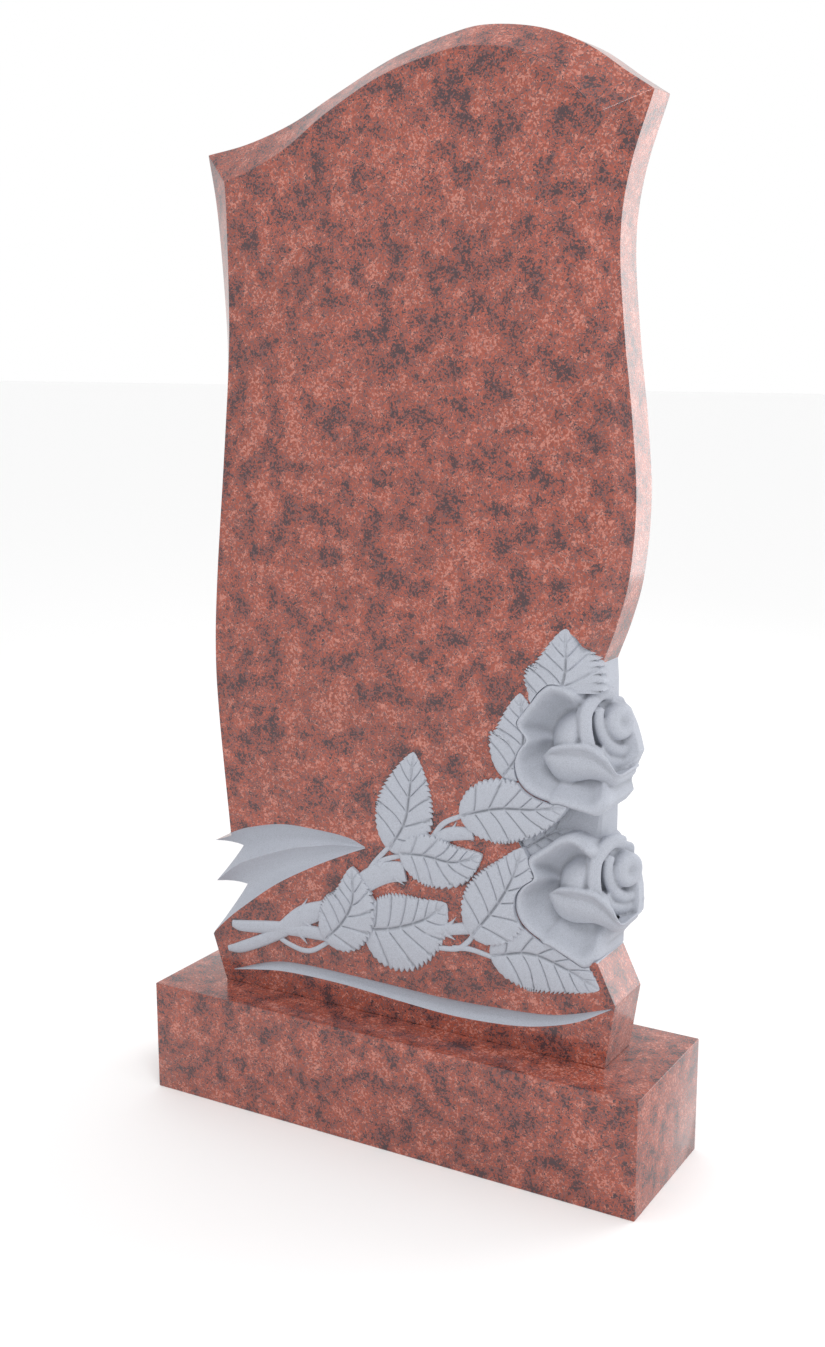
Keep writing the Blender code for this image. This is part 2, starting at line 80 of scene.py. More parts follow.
class HeadstoneSizes(bpy.types.PropertyGroup):
    """Sizes of the stones and of the carving."""

    plinth_arris: bpy.props.FloatProperty(
        name="Plinth arris", description="Breadth of the arris on the plinth's edges", default=0.0012,
        min=0.0, unit="LENGTH")
    slab_arris: bpy.props.FloatProperty(
        name="Slab arris", description="Breadth of the arris on the slab's edges", default=0.0008, min=0.0,
        unit="LENGTH")
    bevel_depth: bpy.props.FloatProperty(
        name="Bevel depth", description="Depth of the bevel behind the polished face", default=0.033,
        min=0.0, unit="LENGTH")
    flute_depth: bpy.props.FloatProperty(
        name="Flute depth", description="Depth of the flutes at the slab's side", default=0.020, min=0.0,
        unit="LENGTH")
    groove_depth: bpy.props.FloatProperty(
        name="Groove depth", description="Depth of the crescent groove over the foot", default=0.009,
        min=0.0, unit="LENGTH")
    leaf_rise: bpy.props.FloatProperty(
        name="Leaf crown", description="How far a leaf's crown stands above its margin", default=0.0034,
        min=0.0, unit="LENGTH")
    vein_depth: bpy.props.FloatProperty(
        name="Vein depth", description="Depth of the side veins cut into the leaves", default=0.0019,
        min=0.0, unit="LENGTH")
    tooth_length: bpy.props.FloatProperty(
        name="Tooth length", description="Length of one tooth of the leaves' margins", default=0.0064,
        min=0.001, unit="LENGTH")
    stem_rise: bpy.props.FloatProperty(
        name="Stem rise", description="How far the stems stand proud of the face", default=0.004, min=0.0,
        unit="LENGTH")
    petal_grain: bpy.props.FloatProperty(
        name="Rose fineness", description="Size of the facets that the roses are worked to", default=0.0015,
        min=0.001, unit="LENGTH")


class HeadstoneColours(bpy.types.PropertyGroup):
    """Colours and polish of the two finishes."""

    red: bpy.props.FloatVectorProperty(
        name="Red feldspar", description="Main colour of the polish", default=(0.370, 0.084, 0.052),
        min=0.0, max=1.0, subtype="COLOR")
    pale: bpy.props.FloatVectorProperty(
        name="Pale grains", description="Colour of the pale pink grains", default=(0.52, 0.215, 0.165),
        min=0.0, max=1.0, subtype="COLOR")
    dark: bpy.props.FloatVectorProperty(
        name="Dark grains", description="Colour of the dark mica grains", default=(0.040, 0.024, 0.030),
        min=0.0, max=1.0, subtype="COLOR")
    grey: bpy.props.FloatVectorProperty(
        name="Grey grains", description="Colour of the grey quartz grains", default=(0.125, 0.075, 0.082),
        min=0.0, max=1.0, subtype="COLOR")
    carving: bpy.props.FloatVectorProperty(
        name="Carved stone", description="Colour of the matte carving", default=(0.41, 0.43, 0.485), min=0.0,
        max=1.0, subtype="COLOR")
    polish: bpy.props.FloatProperty(
        name="Polish", description="Roughness of the polished faces", default=0.13, min=0.0, max=1.0,
        subtype="FACTOR")
    tooling: bpy.props.FloatProperty(
        name="Tooling", description="Roughness of the carved faces", default=0.78, min=0.0, max=1.0,
        subtype="FACTOR")


def sizes():
    return bpy.context.scene.headstone_sizes


def colours():
    return bpy.context.scene.headstone_colours


# Shader nodes


class Value:
    """A number socket of a material. Sums on it add Math nodes."""

    def __init__(self, paint, socket):
        self.paint = paint
        self.socket = socket

    def math(self, operation, *others, clamp=False):
        settings = {"operation": operation, "use_clamp": clamp}
        return self.paint.node("Math", settings, dict(enumerate((self,) + others)))

    def __add__(self, other):
        return self.math("ADD", other)

    def __sub__(self, other):
        return self.math("SUBTRACT", other)

    def __mul__(self, other):
        return self.math("MULTIPLY", other)

    def __rsub__(self, other):
        return self.paint.node("Math", {"operation": "SUBTRACT"}, {0: other, 1: self})

    __radd__ = __add__
    __rmul__ = __mul__

    def over(self, limit, soft):
        """0 below the limit and 1 above it, with a soft step between."""
        return ((self - (limit - soft)) * (0.5 / soft)).math("MAXIMUM", 0.0).math("MINIMUM", 1.0)


class Paint:
    """The nodes of one material."""

    def __init__(self, name):
        self.material = bpy.data.materials.new(name)
        self.material.use_nodes = True
        self.tree = self.material.node_tree
        self.shader = self.tree.nodes["Principled BSDF"]

    def node(self, kind, settings, sockets, output=0):
        """One node, with its settings first and then the values or links of its sockets."""
        node = self.tree.nodes.new("ShaderNode" + kind)
        for name, value in settings.items():
            setattr(node, name, value)
        for key, value in sockets.items():
            self.join(node.inputs[key], value)
        return Value(self, node.outputs[output])

    def join(self, socket, value):
        if isinstance(value, Value):
            self.tree.links.new(value.socket, socket)
        else:
            socket.default_value = value

    def mix(self, factor, first, second):
        first, second = [c if isinstance(c, Value) else (*c, 1.0) for c in (first, second)]
        return self.node("Mix", {"data_type": "RGBA"}, {0: factor, 6: first, 7: second}, output=2)

    def place(self):
        return self.node("TexCoord", {}, {}, output="Object")

    def noise(self, scale, detail=2.0, rough=0.5, place=None):
        sockets = {"Vector": place or self.place(), "Scale": scale, "Detail": detail, "Roughness": rough}
        return self.node("TexNoise", {}, sockets)

    def cells(self, scale, place=None):
        """A random number for each grain of this fineness."""
        sockets = {"Vector": place or self.place(), "Scale": scale}
        colour = self.node("TexVoronoi", {}, sockets, output="Color")
        return self.node("SeparateColor", {}, {0: colour})

    def bump(self, height, strength, distance):
        return self.node("Bump", {}, {"Height": height, "Strength": strength, "Distance": distance})

    def finish(self, **sockets):
        for name, value in sockets.items():
            self.join(self.shader.inputs[name.replace("_", " ")], value)
        return self.material


def polished_granite():
    """Red-pink granite: pink and red feldspar, pale grains, and dark mica gathered in clusters."""
    c = colours()
    paint = Paint("red_polish")
    place = paint.place()
    drift = paint.noise(11.0, 3.0, 0.55, place)
    cluster = paint.noise(38.0, 3.0, 0.55, place)
    warp = paint.node("TexNoise", {}, {"Vector": place, "Scale": 160.0, "Detail": 2.0}, output="Color")
    bend = (0.006, 0.006, 0.006)
    bent = paint.node("VectorMath", {"operation": "MULTIPLY_ADD"}, {0: warp, 1: bend, 2: place})
    coarse = paint.cells(400.0, bent)
    fine = paint.cells(820.0, bent)
    red = Vector(c.red)
    body = paint.mix(coarse, red * 0.70, red * 1.30)
    body = paint.mix(drift.over(0.52, 0.16), body, paint.mix(coarse, red * 0.62, red * 1.02))
    pale = (coarse * 0.7 + fine * 0.3 + (0.5 - cluster) * 0.55).over(0.66, 0.06)
    body = paint.mix(pale * 0.75, body, Vector(c.pale))
    grey = (fine * 0.75 + cluster * 1.1).over(1.03, 0.06)
    body = paint.mix(grey * 0.8, body, Vector(c.grey))
    dark = (coarse * 0.45 + fine * 0.25 + cluster * 1.35).over(1.18, 0.05)
    body = paint.mix(dark * 0.9, body, Vector(c.dark))
    roughness = c.polish + 0.05 * fine
    return paint.finish(Base_Color=body, Roughness=roughness, IOR=1.54)


def carved_granite():
    """The same stone where it is tooled: pale blue-grey, matte, finely grained, with painted shade darkening
    it in the hollows.
    """
    c = colours()
    paint = Paint("pale_carving")
    place = paint.place()
    grain = paint.noise(1100.0, 2.0, 0.6, place)
    speck = paint.cells(900.0, place)
    cloud = paint.noise(45.0, 3.0, 0.5, place)
    # The hollow attribute carries painted shade: it is high where the carving lies deep in a hollow
    hollow = paint.node("Attribute", {"attribute_name": "hollow"}, {}, output="Fac")
    stone = Vector(c.carving)
    body = paint.mix(grain.over(0.5, 0.16), stone * 0.86, stone * 1.14)
    body = paint.mix(speck.over(0.9, 0.04) * 0.30, body, stone * 0.62)
    body = paint.mix(cloud.over(0.5, 0.3) * 0.22, body, stone * 0.84)
    # Painted shade: the stone is darkened towards a dark grey in the hollows, where real shade would fall
    body = paint.mix(hollow * 0.80, body, stone * 0.22)
    tooled = paint.bump(grain * 0.6 + speck * 0.4, 0.28, 0.0004)
    return paint.finish(Base_Color=body, Roughness=c.tooling, Normal=tooled, IOR=1.5)


# Drawing and meshes


def at(x, z, depth=0.0):
    """A point of the drawing, in metres."""
    return Vector((
        x * SLAB_WIDTH / DRAWN_WIDTH,
        FACE + depth * SLAB_THICKNESS / DRAWN_THICKNESS,
        SLAB_FOOT + z * SLAB_HEIGHT / DRAWN_HEIGHT,
    ))


def drawn(depth):
    """A depth in metres as the drawing counts it."""
    return depth / SLAB_THICKNESS * DRAWN_THICKNESS


def spline(points, steps):
    """A smooth curve through all the points, with this many steps between each two."""
    points = [Vector(p) for p in points]
    ends = [2 * points[0] - points[1]] + points + [2 * points[-1] - points[-2]]
    curve = []
    for i in range(1, len(ends) - 2):
        a, b, c, d = ends[i - 1:i + 3]
        for k in range(steps):
            t = k / steps
            curve.append(0.5 * (2 * b + (c - a) * t + (2 * a - 5 * b + 4 * c - d) * t * t
                                + (3 * b - 3 * c + d - a) * t ** 3))
    return curve + [points[-1]]


def closed_spline(points, steps):
    """The same round a closed line."""
    around = points[-2:] + points + points[:2]
    return spline(around, steps)[2 * steps:-2 * steps]


def closed_line(points, steps):
    """Straight stretches round a closed line, with as many steps as the spline has."""
    line = []
    for a, b in zip(points, points[1:] + points[:1]):
        line += [Vector(a).lerp(Vector(b), k / steps) for k in range(steps)]
    return line


def new_object(name, mesh, materials):
    data = bpy.data.meshes.new(name)
    mesh.to_mesh(data)
    mesh.free()
    for material in materials:
        data.materials.append(material)
    obj = bpy.data.objects.new(name, data)
    bpy.context.scene.collection.objects.link(obj)
    return obj


def loft(name, rings, materials):
    """A skin through rings of the same number of points, closed at its ends."""
    mesh = bmesh.new()
    rows = [[mesh.verts.new(p) for p in ring] for ring in rings]
    for first, second in zip(rows, rows[1:]):
        for i in range(len(first)):
            j = (i + 1) % len(first)
            mesh.faces.new((first[i], first[j], second[j], second[i]))
    mesh.faces.new(rows[0])
    mesh.faces.new(rows[-1])
    bmesh.ops.recalc_face_normals(mesh, faces=mesh.faces[:])
    if mesh.calc_volume(signed=True) < 0:
        bmesh.ops.reverse_faces(mesh, faces=mesh.faces[:])
    return new_object(name, mesh, materials)


def pick(*objects):
    """Selects only these, with the first one active."""
    bpy.ops.object.select_all(action="DESELECT")
    for obj in objects:
        obj.select_set(True)
    bpy.context.view_layer.objects.active = objects[0]
    return objects[0]


def modify(obj, kind, **settings):
    """Adds a modifier and applies it."""
    pick(obj)
    modifier = obj.modifiers.new(kind.lower(), kind)
    for name, value in settings.items():
        setattr(modifier, name, value)
    bpy.ops.object.modifier_apply(modifier=modifier.name)


def join(name, objects):
    """All of these as one object."""
    obj = pick(*objects)
    bpy.ops.object.join()
    obj.name = name
    obj.data.name = name
    return obj


def smooth(obj, angle):
    pick(obj)
    bpy.ops.object.shade_smooth_by_angle(angle=radians(angle))


def mark_painted_hollow_shade(obj, rounds, reach):
    """Stores how deep each point lies in a hollow, for the painted shade that darkens the carving there: 1
    where the smoothed skin is the reach above it.
    """
    data = obj.data
    count = len(data.vertices)
    co = np.empty(count * 3)
    data.vertices.foreach_get("co", co)
    co = co.reshape(-1, 3)
    ends = np.empty(len(data.edges) * 2, np.int64)
    data.edges.foreach_get("vertices", ends)
    starts, stops = ends.reshape(-1, 2).T
    degree = np.maximum(np.bincount(ends, minlength=count), 1)[:, None]
    soft = co.copy()
    for _ in range(rounds):
        total = np.zeros_like(soft)
        for k in range(3):
            total[:, k] = (np.bincount(starts, weights=soft[stops, k], minlength=count)
                           + np.bincount(stops, weights=soft[starts, k], minlength=count))
        soft = 0.5 * soft + 0.5 * total / degree
    normals = np.empty(count * 3, np.float32)
    data.vertices.foreach_get("normal", normals)
    lift = ((soft - co) * normals.reshape(-1, 3)).sum(axis=1)
    attribute = data.attributes.new("hollow", "FLOAT", "POINT")
    attribute.data.foreach_set("value", np.clip(lift / reach, 0.0, 1.0).astype(np.float32))


def dress(obj, node="headstone"):
    """Fixes a finished piece to the frame in place of its plain solid."""
    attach(obj, "root")
    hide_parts(node)


# The drawing

# Fineness of the pieces
CURVE_STEPS = 8
RIB_STEPS = 16
STEM_STEPS = 10
LIP_STEPS = 10
WRAP_STEPS = 6
HOLLOW_STEPS = 6
HOLLOW_SIDES = 8
ROWS_PER_VEIN = 24
LEAF_COLUMNS = 14
STEM_SIDES = 10
THORN_STEPS = 6
PETAL_STEPS = 4
BOWL_STEPS = 4
BUD_STEPS = 5
BUD_SIDES = 40
COIL_STEPS = 5
HEART_SIDES = 32

# How far cutters stand proud of the face, and stock runs past the back
PROUD = -12
BED_PROUD = -40
BACK_STOCK = 10
BACK_GAP = 0.0003
# Heights between which the slab's right side is carved, how far out it starts in metres, and how far a face
# has to look to the right to belong to it
CARVED_SIDE = (131.0, 487.0)
CARVED_FROM = 0.235
SIDEWAYS = 0.2
# Edges sharper than this get an arris
ARRIS_ANGLE = 20
# The rounded ridge between two hollows lies this far below the face
CREST_DROP = 0.6

# A leaf's veins and margin
VEINS = 7
VEIN_SWEEP = 0.32
VEIN_HALF = 2.2
MIDRIB_HALF = 2.2
MIDRIB_DEEPER = 1.3
LEAF_STARTS = 0.004
TOOTH_SHARE = 0.13
MARGIN_BREADTH = 3.0
MARGIN_DROP = 1.6
LEAF_EDGE = 14
# The pocket of the leaf between the roses runs on to here, and lies this much deeper than the leaf
BED_RUNS_TO = (276, 314)
LEAF_BED_DEEPER = 4

# Stems and thorns
STEM_FOOT = 8
STEM_FULL_BREADTH = 7
THORN_ROOT = 3
THORN_FOOT = 5
THORN_EDGE = 0.35
THORN_TIP = 0.5
THORN_SIDES = 8

# Rounds of smoothing on a rose's petals
PETAL_ROUNDS = 4
# Rounds of smoothing that a hollow is measured against, and the depth in metres that counts as fully hollow,
# for the painted shade in the hollows
ROSE_HOLLOW_SHADE = (24, 0.0022)
LEAF_HOLLOW_SHADE = (3, 0.0005)
# A slab with fewer faces than this has lost its carving
FEWEST_FACES = 100

# The stage
FLOOR_SIZE = 60.0
WORLD_STRENGTH = 1.0
LOOK_AT = (0.0, 0.0, 0.7)
LAMPS = (
    ("key", (1.2, -1.6, 3.4), (1.2, 1.0), 32.0),
    ("side", (1.7, 2.4, 1.0), (1.8, 2.4), 36.0),
)
CAMERA_PLACE = (0.97578, -1.69562, 1.00132)
CAMERA_TURN = 30.058
CAMERA_CLIMB = 11.685
CAMERA_LENS = 42.85

# The slab's outline: each point is (x, z, width of the bevel there), from the top corner down one side
RIGHT_SIDE = [
    (297, 1116, 44), (271, 1035, 31), (262, 960, 22), (270, 860, 18), (282, 766, 15),
    (289.5, 675, 14.5), (284, 590, 21), (271, 535, 22), (253, 485, 18),
]
LEFT_SIDE = [
    (-297, 1080, 48), (-285, 1010, 38), (-276, 900, 30), (-274, 820, 25), (-281, 700, 21),
    (-294, 560, 20), (-300, 460, 20), (-297, 370, 20), (-284, 203, 22),
]
# The top edge, left to right: (x, z, how far the bevel drops there)
TOP_EDGE = [
    (-297, 1080, 37), (-236, 1090, 36), (-170, 1110, 33), (-105, 1140, 27), (-26, 1174, 25),
    (50, 1194, 26), (98, 1199, 27), (161, 1190, 28), (217, 1168, 32), (264, 1137, 30), (297, 1116, 23),
]
# Behind the roses the side runs on with its bevel, down to where the foot starts
ROSE_SIDE = [(255, 462, 18), (258, 300, 18), (258, 165, 18)]
# The foot and the notched end of the flutes have no bevel
FOOT_RIGHT = [(258, 150), (270, 131), (294, 82), (282, 0)]
FOOT_LEFT = [(-275, 0), (-296, 61), (-249, 135), (-288, 138), (-255, 188), (-289, 195)]
# Near its top corners the bevel's inner line drops away from the outline over this height
CORNER_REACH = 90.0

# The fluted form at the lower left, from its point at the right to its end at the slab's side
FLUTE_TOP = [
    (-52, 223.5), (-79, 232), (-128, 235), (-180, 234), (-231, 222), (-259, 211), (-292, 194), (-306, 187),
]
FLUTE_RIDGE = [
    (-52, 222.5), (-93, 219), (-128, 212), (-168, 202), (-220, 182), (-256, 164), (-292, 135), (-306, 124),
]
FLUTE_FOOT = [
    (-52, 221.5), (-80, 209), (-129, 185), (-190, 150), (-247, 107), (-275, 83), (-299, 59), (-311, 48),
]
# Their depth at the point, and then as shares of the full depth
FLUTE_POINT = 0.2
FLUTE_SHARES = (0.3, 0.45, 0.62, 0.8, 0.9, 1.0, 1.0)
# The hollow crescent over the foot, from end to end
GROOVE_TOP = [
    (-262, 17), (-197, 40), (-145, 46), (-70, 46), (-1, 45),
    (69, 44), (136, 47), (201, 52), (243, 62), (289, 78),
]
GROOVE_FOOT = [
    (-262, 16), (-226, 23), (-175, 30), (-91, 31), (-1, 26),
    (69, 23), (137, 26), (191, 34), (244, 51), (289, 77),
]
GROOVE_SHARES = (0.03, 0.45, 0.7, 0.9, 1.0, 1.0, 1.0, 0.8, 0.5, 0.03)
# Each leaf: its midrib from stalk to tip as (x, z), its widths to the left and right of the midrib, how far
# it stands proud of the face, and how far its far end or its right half sinks
LEAVES = {
    "leaf_upright": dict(
        rib=[(-16, 225), (7, 264), (14, 300), (19.5, 357)],
        left=48, right=38, rise=1.0),
    "leaf_low_bud": dict(
        rib=[(0, 225), (38, 228), (78, 226), (117, 241)],
        left=29, right=41, rise=4.0),
    "leaf_under_upper_rose": dict(
        rib=[(86, 286), (137, 303), (186, 309), (228, 318)],
        left=38, right=45, rise=4.0),
    "leaf_beside_upper_rose": dict(
        rib=[(142, 342), (162, 370), (170, 395), (164, 447)],
        left=46, right=30, rise=1.0),
    "leaf_top": dict(
        rib=[(188, 420), (206, 440), (222, 475), (221, 529)],
        left=50, right=44, rise=2.0, right_sinks=26),
    "leaf_lower_left": dict(
        rib=[(-112, 88), (-84, 118), (-68, 151), (-70, 195)],
        left=40, right=42, rise=4.5),
    "leaf_low_middle": dict(
        rib=[(-58, 113), (-10, 123), (35, 143), (67, 169)],
        left=46, right=60, rise=1.0),
    "leaf_beside_lower_rose": dict(
        rib=[(103, 134), (136, 178), (158, 218), (171, 259)],
        left=46, right=46, rise=3.5),
    "leaf_under_lower_rose": dict(
        rib=[(128, 113), (180, 127), (225, 119), (274, 99)],
        left=42, right=50, rise=1.0),
    "leaf_between_roses": dict(
        rib=[(170, 256), (205, 280), (235, 296), (256, 306)],
        left=32, right=42, rise=-5, end_sinks=27),
}

# The leaves that pass under a rose
UNDER_ROSES = {
    "leaf_top": ["upper_rose"],
    "leaf_beside_upper_rose": ["upper_rose"],
    "leaf_under_upper_rose": ["upper_rose"],
    "leaf_beside_lower_rose": ["lower_rose"],
    "leaf_under_lower_rose": ["lower_rose"],
    "leaf_between_roses": ["lower_rose", "upper_rose"],
}
# The pocket of the face that the right half of the top leaf lies in: its outline, its depth at the midrib,
# and how much deeper it is at the slab's side
TOP_POCKET = [
    (206, 436), (216, 462), (221.5, 480), (222, 505), (221, 527),
    (234, 519), (250, 500), (262, 478), (262, 436),
]
TOP_POCKET_START = 1
TOP_POCKET_DEPTH = 22

# Each stem: its centre line and half its breadth there, (x, z, half breadth)
STEMS = {
    "stem_first": [(-262, 82, 5), (-243, 82, 8), (-177, 91, 9), (-105, 95, 9)],
    "stem_second": [(-270, 45, 4), (-246, 52, 8), (-197, 77, 9), (-150, 112, 14), (-112, 130, 12)],
    "stem_behind_leaves": [(-78, 150, 11), (-50, 178, 14), (-20, 195, 14), (8, 201, 13)],
    "stem_to_upper_rose": [(55, 250, 8), (72, 260, 9), (104, 266, 8)],
    "stem_to_lower_rose": [(38, 130, 8), (62, 134, 7), (100, 144, 8), (118, 150, 7)],
    "stalk_upright": [(-58, 172, 3.5), (-40, 202, 3.5), (-16, 230, 3)],
    "stalk_low_bud": [(-44, 184, 3.5), (-28, 208, 3.5), (4, 222, 3)],
    "stalk_under_upper_rose": [(46, 250, 4), (62, 272, 3.5), (90, 287, 3)],
    "stalk_lower_left": [(-196, 82, 3.5), (-170, 70, 3.5), (-138, 67, 3.5), (-104, 88, 3)],
    "stalk_beside_lower_rose": [(28, 108, 3.5), (78, 112, 3.5), (96, 124, 3.5), (106, 138, 3)],
    "stalk_under_lower_rose": [(76, 113, 3.5), (100, 116, 3.5), (130, 112, 3)],
}
# Each thorn: the middle of its foot, and its tip
THORNS = [
    ((-150, 122), (-141, 139)), ((-142, 106), (-131, 99)), ((-152, 88), (-142, 76)),
    ((-27, 205), (-19, 216)), ((-5, 190), (6, 183)), ((74, 264), (80, 277)),
    ((90, 262), (104, 256)), ((70, 140), (80, 154)), ((68, 130), (79, 124)),
]
THORN_HALF_FOOT = 6.0

# Both roses are one design. It is drawn round the heart of the bud: p runs right, q up, d behind the face.
ROSES = {"lower_rose": dict(place=(282, 223), turn=0.0), "upper_rose": dict(place=(265.7, 416.4), turn=15.3)}
# The bud of each, with all that is coiled in it, has its own place and turn
BUDS = {"lower_rose": ((282, 223), 0.0), "upper_rose": ((268, 402), 7.0)}
ROSE_MIDDLE = (-51, -13)
# The rim of the open outer petals as (p, q, how far it falls back), round from the top right
ROSE_RIM = [
    (-20, 47, 3), (-33, 57, 0), (-48, 62, 0), (-64, 56, 0), (-79, 44, 0), (-92, 34, 0), (-104, 22, 0),
    (-96, 2, 0), (-109, -10, 0), (-119, -24, 1), (-121, -41, 2), (-118, -53, 3), (-111, -63, 3),
    (-99, -72, 3), (-87, -78, 3), (-81, -80, -2), (-71, -82, -2), (-56, -89, -1), (-41, -96, 0),
    (-26, -101, 0),
    (-14, -91, 8), (-13, -76, 24), (-8, -48, 52), (-4, -30, 57), (-4, -10, 57), (-6, 12, 57), (-12, 32, 45),
]
# The right side of the same stone farther back, where it is cut square to the face, up from the lowest point
ROSE_SIDE_DEPTH = 64
ROSE_SIDE_CUT = [(-12, -90), (-12, -77), (13, -44), (13, -28), (12, -12), (8, 8), (-5, 24)]
# The bowl's profile: (share of the way from the middle to the rim, depth)
BOWL = [(0.30, 28), (0.50, 26), (0.64, 20), (0.76, 9), (0.86, -3), (0.94, -6), (1.0, 0)]
# The bed cut for it in the slab, as a share of the way to the rim, and its depth
BED_SHARE = 0.97
BED_DEPTH = 62
# At the right the bed runs on past the slab's side, so that nothing stands before the bud's mouth
BED_SIDE = [(-12, -90), (30, -60), (30, 28), (-20, 44)]
# A leaf that passes under a rose ends this share of the way from the rose's middle to its rim
LEAF_END_SHARE = 0.985
# The bud's sections from its mouth back: middle (p, q, d), half width towards the face and up, and its turn
BUD_SECTIONS = [
    (-10, 0, 60, 48, 38, 66), (-16, 0, 55, 54, 43, 71), (-34, -2, 52, 51, 42, 80),
    (-54, -5, 50, 44, 37, 88), (-70, -8, 50, 32, 27, 92), (-80, -10, 50, 12, 12, 95),
]
MOUTH_TURN = 66.0
MOUTH_DEPTH = 56.0
# The coiled petals in the mouth: the line of each one's crest there as (across, up, half breadth), and how
# far it stands out of the mouth
COILS = {
    "outer_petal": ([(6.4, 45.4, 8), (21, 50, 9), (35.5, 44.5, 9), (48, 32, 8.5),
                     (51.5, 18, 8.5), (51.5, 4.2, 8.5), (49, -10, 8)], 5),
    "inner_petal": ([(26.8, 32.7, 4), (31, 25, 6.5), (31.5, 13, 7), (27, -1.6, 7.5),
                     (18, -14.7, 8), (4.8, -22.5, 8), (-9.2, -21.5, 7.5), (-19.4, -14.7, 7)], 5),
    "cup_petal": ([(36, -17, 8), (24, -32, 9), (6, -37, 9.5), (-12, -35, 9.5), (-25, -27, 8)], 4),
}
# The bud's heart: its middle in the mouth, its radius, and its profile as (share of the radius, height)
HEART_MIDDLE = (2.2, 11.6)
HEART_RADIUS = 21.5
HEART = [(1.0, -16), (1.0, 4), (0.93, 8), (0.75, 10.5), (0.5, 11), (0.3, 9.5), (0.12, 8.5)]
# Where a coiled petal's foot lies in the mouth, and how far out its outer wall stands there, as a share of
# its half breadth
COIL_FOOT = -16
COIL_UNDERCUT = 0.3
# The petal that wraps the bud from below: its rolled lip, its lower edge, and the way its thickness goes at
# each, in degrees round from straight back
WRAP_LIP = [
    (-82, -21, 11), (-68, -12, 4), (-50, -8, 0), (-33, -7, -1), (-16, -10, 0),
    (0, -23, 3), (6, -34, 8), (11, -45, 17), (13, -45, 45), (13, -45, 72),
]
WRAP_FOOT = [
    (-82, -26, 14), (-80, -34, 14), (-71, -48, 14), (-55, -53, 13), (-41, -52, 13),
    (-25, -50, 14), (-10, -52, 16), (0, -58, 22), (2, -60, 46), (2, -60, 72),
]
WRAP_INWARD = [0, 0, 0, 0, 0, 20, 40, 65, 90, 90]
# Its outer skin swells between lip and foot, from a line set back from both
WRAP_SHARES = (0.22, 0.34, 0.46, 0.58, 0.7, 0.82, 0.92)
WRAP_SWELL = 5.0
WRAP_SETBACK = 2.4
LIP_TURNS = (150, 115, 80, 45, 10, -25, -60)
LIP_RADIUS = 4.8
WRAP_THICKNESS = 24.0
WRAP_FULL_HEIGHT = 30.0


# The slab


def side_of_slab(side, inward, drop):
    """The outline and the bevel's inner line down one side, from below the top corner."""
    top = side[0][1]
    outer, inner = [], []
    for x, z, width in spline(side, CURVE_STEPS)[1:]:
        outer.append((x, z))
        inner.append((x + inward * width, z - drop * max(0.0, 1 - (top - z) / CORNER_REACH) ** 2))
    return outer, inner


def slab_block(materials):
    """The slab with its bevel, before the carving is cut."""
    left_end, right_end = TOP_EDGE[0], TOP_EDGE[-1]
    left_width, right_width = LEFT_SIDE[0][2], RIGHT_SIDE[0][2]
    outer, inner = [], []
    for x, z, drop in spline(TOP_EDGE, CURVE_STEPS):
        share = (x - left_end[0]) / (right_end[0] - left_end[0])
        outer.append((x, z))
        inner.append((x + left_width * (1 - share) ** 6 - right_width * share ** 6, z - drop))
    right_outer, right_inner = side_of_slab(RIGHT_SIDE, -1, right_end[2])
    left_outer, left_inner = side_of_slab(LEFT_SIDE, 1, left_end[2])
    plain = FOOT_RIGHT + FOOT_LEFT
    outer += right_outer + [(x, z) for x, z, _ in ROSE_SIDE] + plain + left_outer[::-1]
    inner += right_inner + [(x - width, z) for x, z, width in ROSE_SIDE] + plain + left_inner[::-1]
    bevel = drawn(sizes().bevel_depth)
    slab = loft("polished_slab", [
        [at(x, z, 0) for x, z in inner],
        [at(x, z, bevel) for x, z in outer],
        [at(x, z, DRAWN_THICKNESS) for x, z in outer],
    ], materials)
    arris = sizes().slab_arris
    modify(slab, "BEVEL", width=arris, segments=2, limit_method="ANGLE", angle_limit=radians(ARRIS_ANGLE))
    low, high = CARVED_SIDE
    for face in slab.data.polygons:
        middle = face.center
        height = (middle.z - SLAB_FOOT) * DRAWN_HEIGHT / SLAB_HEIGHT
        beside = middle.x > CARVED_FROM and low < height < high
        if beside and face.normal.x > SIDEWAYS:
            face.material_index = 1
    return slab


def hollow(name, crests, depths, material):
    """A cutter with one hollow between each two of its crest lines. Its depths run from end to end."""
    crests = [spline([(x, z, 0) for x, z in line], HOLLOW_STEPS) for line in crests]
    depths = [d.x for d in spline([(d, 0, 0) for d in depths], HOLLOW_STEPS)]
    rings = []
    for k, depth in enumerate(depths):
        line = [c[k] for c in crests]
        ring = [at(line[0].x, line[0].y, PROUD), at(line[0].x, line[0].y, 0)]
        for i, (upper, lower) in enumerate(zip(line, line[1:])):
            for step in range(1, HOLLOW_SIDES):
                share = step / HOLLOW_SIDES
                p = upper.lerp(lower, share)
                ring.append(at(p.x, p.y, CREST_DROP / 2 + max(depth, 0.05) * sin(pi * share) ** 0.8))
            ring.append(at(lower.x, lower.y, CREST_DROP if i + 2 < len(line) else 0))
        ring.append(at(line[-1].x, line[-1].y, PROUD))
        rings.append(ring)
    return loft(name, rings, [material])


def cut(target, cutter, **settings):
    """Takes the cutter out of the target."""
    modify(target, "BOOLEAN", operation="DIFFERENCE", object=cutter, **settings)
    bpy.data.objects.remove(cutter)


def carve(slab, cutter):
    """Takes the cutter out of the slab and leaves the cutter's finish on the cut."""
    cut(slab, cutter, solver="EXACT", material_mode="TRANSFER")


# Leaves, stems and thorns


def even(curve):
    """The same curve with equal steps of length."""
    lengths = np.concatenate([[0.0], np.cumsum([(b - a).length for a, b in zip(curve, curve[1:])])])
    goals = np.linspace(0.0, lengths[-1], len(curve))
    return [Vector(p) for p in zip(*(np.interp(goals, lengths, [c[k] for c in curve]) for k in range(3)))]


